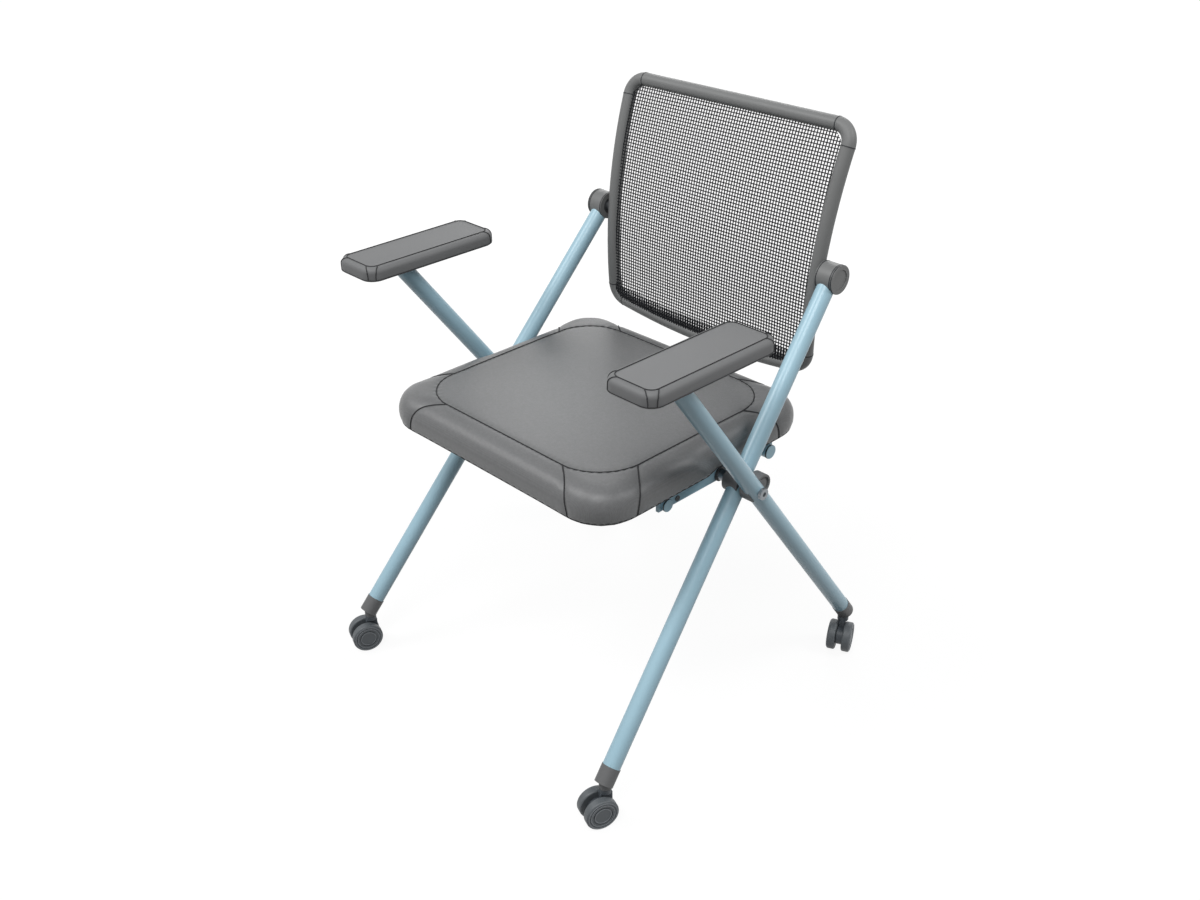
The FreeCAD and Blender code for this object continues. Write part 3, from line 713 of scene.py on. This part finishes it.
# The CAD nodes' finishes.
FINISHES = {
    tube_paint: ["front_tube_", "rear_tube_", "seat_rail_", "front_bar", "rear_bar", "bar_caps"],
    hub_plastic: ["front_hub_", "rear_hub_", "pivot_spacers", "_socket", "arm_plate_"],
    back_plastic: ["back_frame", "hinge_drum_", "drum_cap_"],
    pan_plastic: ["seat_pan", "seat_stop_", "stop_rod"],
    wheel_plastic: ["_wheel_"],
    fork_plastic: ["_fork"],
    bush_plastic: ["hinge_bushes", "rail_bushes"],
    steel: [
        "_spindle", "_stems", "cross_axle", "pivot_bolts", "arm_screws", "pan_screws",
        "back_pin_",
    ],
}
for material, words in FINISHES.items():
    for name, node in nodes.items():
        if any(word in name for word in words):
            finish_with(node, material)


# Seat cushion.
def draw_in_waist(pad):
    """Pull the cushion's sides in where the front legs pass."""
    places = points(pad)
    rise = np.clip((np.abs(places[:, 0]) - PANEL_HALF_W) / (SEAT_HALF_W - PANEL_HALF_W), 0, 1)
    over = places[:, 2] - PIVOT_Z
    ahead = PIVOT_Y - WAIST_FRONT_LEAN * over - places[:, 1]
    behind = places[:, 1] - PIVOT_Y - WAIST_BACK_LEAN * over
    near = np.clip(1 - np.maximum(ahead, behind) / WAIST_EASE, 0, 1)
    ease = near * near * (3 - 2 * near)
    places[:, 0] -= np.sign(places[:, 0]) * WAIST_IN * ease * rise
    set_points(pad, places)


def seat_cushion():
    low = (-SEAT_HALF_W + SEAT_SWELL, SEAT_FRONT_Y + SEAT_SWELL, SEAT_FOOT_Z)
    high = (SEAT_HALF_W - SEAT_SWELL, SEAT_BACK_Y - SEAT_SWELL, SEAT_TOP_Z)
    pad = rounded_block("seat_pad", low, high, SEAT_CORNER_R, SEAT_SHOULDER, SEAT_FOOT_ROUND)
    swell(pad, SEAT_VOXEL, SEAT_SWELL, SEAT_FOOT_Z + SEAT_HELD_H)
    soften(pad, 3)
    refine(pad)
    draw_in_waist(pad)
    panel_low = (-PANEL_HALF_W, PANEL_FRONT_Y)
    panel_high = (PANEL_HALF_W, PANEL_BACK_Y)
    over = SEAT_TOP_Z + SEAM_LOOP_OVER
    top_loop = outline("seat_seams", panel_low, panel_high, over, PANEL_CORNER_R)
    lay_on(top_loop, pad, straight_down=True)
    foot_loop = outline("foot_piping", low, high, SEAT_FOOT_Z + PIPING_UP, SEAT_CORNER_R)
    lines = [top_loop, foot_loop]
    lines += corner_lines(
        panel_low, panel_high, PANEL_CORNER_R, SEAT_FOOT_Z, CORNER_SEAM_REACH
    )
    for line in lines[1:]:
        lay_on(line, pad)
    sew_in(pad, lines)
    skirt = Vector((SKIRT_W, SKIRT_W, 0))
    inner_low, inner_high = Vector(low) + skirt, Vector(high) - skirt
    inner_low.z = SEAT_FOOT_Z - CUT_MARGIN
    inner_high.z = SKIRT_TOP_Z
    cut_away(pad, inner_low, inner_high, SEAT_CORNER_R - SKIRT_W)
    front, back, top = AXLE_NOTCH
    notch_low = (low[0] - CUT_MARGIN, front, inner_low.z)
    cut_away(pad, notch_low, (high[0] + CUT_MARGIN, back, top))
    smooth(pad, 60)
    finish_with(pad, seat_cloth)
    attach(pad, "seat")
    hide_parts("seat_cushion")
    sew("seat_seams", pad, lines, SEAM_R, seam_thread, "seat")


seat_cushion()


# Arm pads.
def arm_pad(side):
    low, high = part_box("arm_pad_" + side)
    pad = rounded_block(
        "arm_rest_" + side, low, high, PAD_CORNER_R, PAD_TOP_ROUND, PAD_FOOT_ROUND
    )
    plate_low, plate_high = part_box("arm_plate_" + side)
    play = Vector((POCKET_PLAY, POCKET_PLAY, POCKET_PLAY))
    cut_away(pad, plate_low - play, plate_high + play)
    smooth(pad, 35)
    finish_with(pad, pad_skin)
    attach(pad, "rear_frame")
    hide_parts("arm_pad_" + side)
    inset = Vector((PAD_TOP_ROUND, PAD_TOP_ROUND, 0))
    panel_low, panel_high = low + inset, high - inset
    panel_corner = PAD_CORNER_R - PAD_TOP_ROUND
    over = high.z + PAD_LOOP_OVER
    top_loop = outline("arm_seams_" + side, panel_low, panel_high, over, panel_corner)
    lay_on(top_loop, pad, straight_down=True)
    foot_loop = outline("foot_piping", low, high, low.z + PAD_FOOT_ROUND, PAD_CORNER_R)
    lines = [top_loop, foot_loop]
    start = low.z + PAD_CORNER_UP
    lines += corner_lines(panel_low, panel_high, panel_corner, start, PAD_CORNER_REACH)
    sew("arm_seams_" + side, pad, lines, PAD_SEAM_R, seam_thread, "rear_frame")


for side in SIDES:
    arm_pad(side)


# Back net.
def arc_at(height):
    """The length along the back's curve from its foremost point to a height."""
    return NET_R * math.asin((height - CURVE_Z) / NET_R)


def net_strips(name, count, length, turned):
    """Parallel flat strips, one pitch apart, with a row of points at every crossing."""
    bpy.ops.object.select_all(action="DESELECT")
    bpy.ops.mesh.primitive_grid_add(
        x_subdivisions=1, y_subdivisions=round(length / NET_PITCH), size=1
    )
    strip = bpy.context.object
    strip.scale = (STRAND_W, length, 1)
    take_new(name)
    rows = strip.modifiers.new("rows", "ARRAY")
    rows.count = count
    rows.use_relative_offset = False
    rows.use_constant_offset = True
    rows.constant_offset_displace = (NET_PITCH, 0, 0)
    wall = strip.modifiers.new("wall", "SOLIDIFY")
    wall.thickness = STRAND_T
    wall.offset = 0
    apply_modifiers(strip)
    strip.location.x = -NET_PITCH * (count - 1) / 2
    only(strip)
    bpy.ops.object.transform_apply(location=True, rotation=False, scale=False)
    if turned:
        strip.rotation_euler.z = math.pi / 2
        bpy.ops.object.transform_apply(location=False, rotation=True, scale=False)
    strip.location.y = net_middle
    bpy.ops.object.transform_apply(location=True, rotation=False, scale=False)
    return strip


def weave(strip, turned):
    """Pass each strip over and under the ones that it crosses."""
    flat = points(strip)
    columns = flat[:, 0] / NET_PITCH
    rows = (flat[:, 1] - net_middle) / NET_PITCH
    if turned:
        flat[:, 2] -= WEAVE_RISE * np.cos(math.pi * columns) * np.cos(math.pi * np.round(rows))
    else:
        flat[:, 2] += WEAVE_RISE * np.cos(math.pi * np.round(columns)) * np.cos(math.pi * rows)
    set_points(strip, flat)


def net_hem(columns, foot):
    """Short strips between the net's upright ones, along its dipped foot."""
    hem = net_strips("net_hem", columns - 1, HEM_H, False)
    flat = points(hem)
    flat[:, 1] += foot + HEM_H / 2 - net_middle
    flat[:, 1] += NET_DIP_SLOPE * np.maximum(np.abs(flat[:, 0]) - NET_DIP_X, 0)
    flat[:, 2] += STRAND_T
    set_points(hem, flat)
    return hem


def trim(place, outward):
    bpy.ops.mesh.select_all(action="SELECT")
    bpy.ops.mesh.bisect(
        plane_co=(place[0], place[1], 0),
        plane_no=(outward[0], outward[1], 0),
        clear_outer=True,
        use_fill=True,
    )


def back_net():
    top = arc_at(NET_TOP_Z)
    foot = arc_at(NET_FOOT_Z)
    wide = 2 * (NET_SIDE_X + NET_SIDE_SLOPE * top)
    columns = 2 * math.ceil(wide / NET_PITCH / 2) + 1
    rows = 2 * math.ceil((top - foot) / NET_PITCH / 2) + 1
    upright = net_strips("net_upright", columns, (rows + 1) * NET_PITCH, False)
    level = net_strips("net_level", rows, (columns + 1) * NET_PITCH, True)
    weave(upright, False)
    weave(level, True)
    net = join("back_net", [upright, level, net_hem(columns, foot)])
    start_editing(net)
    trim((0, top), (0, 1))
    trim((0, foot), (0, -1))
    for side in (-1, 1):
        trim((side * NET_SIDE_X, 0), (side, -NET_SIDE_SLOPE))
        trim((side * NET_DIP_X, foot), (side * NET_DIP_SLOPE, -1))
        for end in (foot + NET_DIP_SLOPE * (NET_SIDE_X - NET_DIP_X), top):
            up = 1 if end == top else -1
            edge_x = NET_SIDE_X + NET_SIDE_SLOPE * end
            trim((side * (edge_x - NET_CORNER_IN), end), (side, up))
    stop_editing()
    flat = points(net)
    low = np.clip((foot + NET_PUSH_REACH - flat[:, 1]) / NET_PUSH_REACH, 0, 1)
    radius = NET_R + flat[:, 2] + NET_FOOT_PUSH * low * low * (3 - 2 * low)
    angle = flat[:, 1] / NET_R
    flat[:, 1] = CURVE_Y - radius * np.cos(angle)
    flat[:, 2] = CURVE_Z + radius * np.sin(angle)
    set_points(net, flat)
    smooth(net, 50)
    finish_with(net, net_cord)
    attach(net, "back")
    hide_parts("back_mesh")


net_middle = (arc_at(NET_TOP_Z) + arc_at(NET_FOOT_Z)) / 2
back_net()


# Joint rings on the back frame, the drums, the bars, the sleeves and the wheels.
def upright_ring(side, height):
    """A joint ring on an upright, square to the tube where it stands."""
    angle = math.asin((height - CURVE_Z) / BACK_R)
    flare = math.tan(BACK_FLARE)
    centre = (
        side * (UPRIGHT_X + (height - HINGE_Z) * flare),
        CURVE_Y - BACK_R * math.cos(angle),
        height,
    )
    heading = (side * flare, math.sin(angle), math.cos(angle))
    return ring(centre, heading, BACK_TUBE_R)


def back_rings():
    rings = []
    for side in SIDES.values():
        rings.append(upright_ring(side, TOP_BEND_Z))
        rings.append(upright_ring(side, FOOT_BEND_Z))
        for x, y, z in (TOP_TUBE, FOOT_RAIL):
            rings.append(ring((side * x, y, z), (1, 0, 0), BACK_TUBE_R))
    ring_set("back_joint_rings", rings, "back")


def drum_rings():
    rings = []
    for side in SIDES.values():
        for x in DRUM_RING_XS:
            rings.append(ring((side * x, HINGE_Y, HINGE_Z), (1, 0, 0), DRUM_R))
    ring_set("drum_rings", rings, "front_frame")


def bar_rings():
    rings = []
    for bar in ("front_bar", "rear_bar"):
        low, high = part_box(bar)
        middle = (low + high) / 2
        radius = (high.z - low.z) / 2
        for side in SIDES.values():
            place = (side * (high.x + BAR_RING_OUT), middle.y, middle.z)
            rings.append(ring(place, (1, 0, 0), radius))
    ring_set("bar_end_rings", rings, "seat")


def long_axis(piece):
    """The direction of a straight leg, pointing up, and the middle of its foot."""
    places = np.unique(np.round(points(piece), 5), axis=0)
    heights = places[:, 2]
    foot = places[heights < heights.min() + LEG_END].mean(axis=0)
    top = places[heights > heights.max() - LEG_END].mean(axis=0)
    return (top - foot) / np.linalg.norm(top - foot), foot


def sleeve_rings(end):
    """Joint rings where the caster sleeves meet one pair of legs."""
    rings = []
    for side in SIDES:
        axis, foot = long_axis(nodes[f"{end}_tube_{side}"])
        sleeve = points(nodes[f"{end}_{side}_socket"]) - foot
        along = sleeve @ axis
        radius = np.linalg.norm(sleeve - np.outer(along, axis), axis=1)
        top = along.max()
        wide = radius[along > top - SLEEVE_MOUTH].max()
        rings.append(ring(foot + axis * (top - SLEEVE_RING_DOWN), axis, wide))
    ring_set(f"{end}_sleeve_rings", rings, f"{end}_frame")


def wheel_trim(corner, which, other):
    """Concentric rings on a wheel's outer face."""
    places = points(nodes[f"{corner}_wheel_{which}"])
    middle = (places.min(axis=0) + places.max(axis=0)) / 2
    twin = points(nodes[f"{corner}_wheel_{other}"])
    twin_middle = (twin.min(axis=0) + twin.max(axis=0)) / 2
    axis = (middle - twin_middle) / np.linalg.norm(middle - twin_middle)
    along = (places - middle) @ axis
    radius = np.linalg.norm(places - middle - np.outer(along, axis), axis=1)
    parts = []
    for size in WHEEL_RINGS:
        face = along[radius > size - WHEEL_FACE_PLAY].max()
        centre = middle + axis * (face - WHEEL_RING_SINK)
        parts.append(ring(centre, axis, size, WHEEL_RING_T))
    name = f"{corner}_{which}_wheel_rings"
    ring_set(name, parts, f"{corner}_wheel_{which}", wheel_line)


# Pivot barrels behind the rear legs.
def pivot_barrel(name, side):
    x, y, z = BARREL_AT
    bpy.ops.object.select_all(action="DESELECT")
    bpy.ops.mesh.primitive_cylinder_add(
        vertices=48,
        radius=BARREL_R,
        depth=BARREL_LONG,
        location=(side * x, y, z),
        rotation=(0, math.pi / 2, 0),
    )
    barrel = take_new("pivot_barrel_" + name)
    start_editing(barrel)
    pick(barrel, "FACE", lambda face: face.normal.x * side > 0.9)
    for border, push in ((BARREL_RIM, -BARREL_RECESS), (BARREL_GROOVE, BARREL_BUTTON)):
        bpy.ops.mesh.inset(thickness=border)
        bpy.ops.mesh.extrude_region_move(
            TRANSFORM_OT_translate={"value": (side * push, 0, 0)}
        )
    stop_editing()
    edge = barrel.modifiers.new("edge", "BEVEL")
    edge.width = BARREL_EDGE
    edge.segments = 2
    edge.limit_method = "ANGLE"
    apply_modifiers(barrel)
    smooth(barrel, 35)
    finish_with(barrel, hub_plastic)
    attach(barrel, "rear_frame")


back_rings()
drum_rings()
bar_rings()
for end in ("front", "rear"):
    sleeve_rings(end)
for corner in CORNERS:
    wheel_trim(corner, "inner", "outer")
    wheel_trim(corner, "outer", "inner")
for name, side in SIDES.items():
    pivot_barrel(name, side)


# Floor, light and camera.
def seen_directly(tree):
    """1 for what the camera, a reflection or a clear part looks at."""
    path = tree.nodes.new("ShaderNodeLightPath")
    share = path.outputs["Is Camera Ray"]
    for label in ("Is Glossy Ray", "Is Transmission Ray"):
        share = add_math(tree, "MAXIMUM", share, path.outputs[label])
    return share


def studio_floor():
    bpy.ops.object.select_all(action="DESELECT")
    bpy.ops.mesh.primitive_plane_add(size=FLOOR_SIZE)
    floor = take_new("studio_floor")
    material = bpy.data.materials.new("studio_floor")
    material.use_nodes = True
    tree = material.node_tree
    shader = tree.nodes["Principled BSDF"]
    shader.inputs["Base Color"].default_value = (FLOOR_GREY, FLOOR_GREY, FLOOR_GREY, 1)
    shader.inputs["Roughness"].default_value = 0.9
    shader.inputs["Specular IOR Level"].default_value = 0
    shader.inputs["Emission Color"].default_value = (1, 1, 1, 1)
    place = tree.nodes.new("ShaderNodeTexCoord").outputs["Object"]
    away = tree.nodes.new("ShaderNodeVectorMath")
    away.operation = "LENGTH"
    tree.links.new(place, away.inputs[0])
    paler = tree.nodes.new("ShaderNodeMapRange")
    paler.inputs["From Min"].default_value = FLOOR_NEAR
    paler.inputs["From Max"].default_value = FLOOR_FAR
    paler.inputs["To Min"].default_value = FLOOR_NEAR_WHITE
    paler.inputs["To Max"].default_value = 1.0
    tree.links.new(away.outputs["Value"], paler.inputs["Value"])
    lift = add_math(tree, "MULTIPLY", seen_directly(tree), paler.outputs["Result"])
    tree.links.new(lift, shader.inputs["Emission Strength"])
    finish_with(floor, material)


def studio_world():
    world = bpy.data.worlds.new("studio")
    bpy.context.scene.world = world
    world.use_nodes = True
    tree = world.node_tree
    back = tree.nodes["Background"]
    back.inputs["Color"].default_value = (1, 1, 1, 1)
    seen = seen_directly(tree)
    extra = add_math(tree, "MULTIPLY", seen, 1 - WORLD_LIGHT)
    strength = add_math(tree, "ADD", extra, WORLD_LIGHT)
    tree.links.new(strength, back.inputs["Strength"])


def soft_lamp(name, place, size, power):
    bpy.ops.object.select_all(action="DESELECT")
    bpy.ops.object.light_add(type="AREA", location=place)
    lamp = bpy.context.object
    lamp.name = name
    lamp.data.size = size
    lamp.data.energy = power
    heading = Vector(LAMP_AIM) - Vector(place)
    lamp.rotation_euler = heading.to_track_quat("-Z", "Y").to_euler()


def photo_camera():
    bpy.ops.object.camera_add(location=CAMERA_AT)
    camera = bpy.context.object
    turn, tilt = CAMERA_AZIMUTH, CAMERA_ELEVATION
    back = Vector(
        (
            math.sin(turn) * math.cos(tilt),
            -math.cos(turn) * math.cos(tilt),
            math.sin(tilt),
        )
    )
    level = Vector((math.cos(turn), math.sin(turn), 0))
    upward = back.cross(level)
    right = math.cos(CAMERA_ROLL) * level + math.sin(CAMERA_ROLL) * upward
    upward = back.cross(right)
    camera.matrix_world = Matrix.Translation(CAMERA_AT) @ Matrix(
        (right, upward, back)
    ).transposed().to_4x4()
    camera.data.lens = CAMERA_LENS
    camera.data.sensor_width = SENSOR_W
    bpy.context.scene.camera = camera


studio_floor()
studio_world()
soft_lamp("key_lamp", (-1.5, -1.8, 2.8), 1.2, 42)
soft_lamp("high_lamp", (0.9, -1.4, 2.9), 1.3, 42)
soft_lamp("back_lamp", (2.0, 1.4, 2.6), 1.2, 28)
soft_lamp("rear_fill_lamp", (-1.6, 2.2, 1.8), 1.6, 16)
photo_camera()
bpy.context.scene.view_settings.view_transform = "Standard"
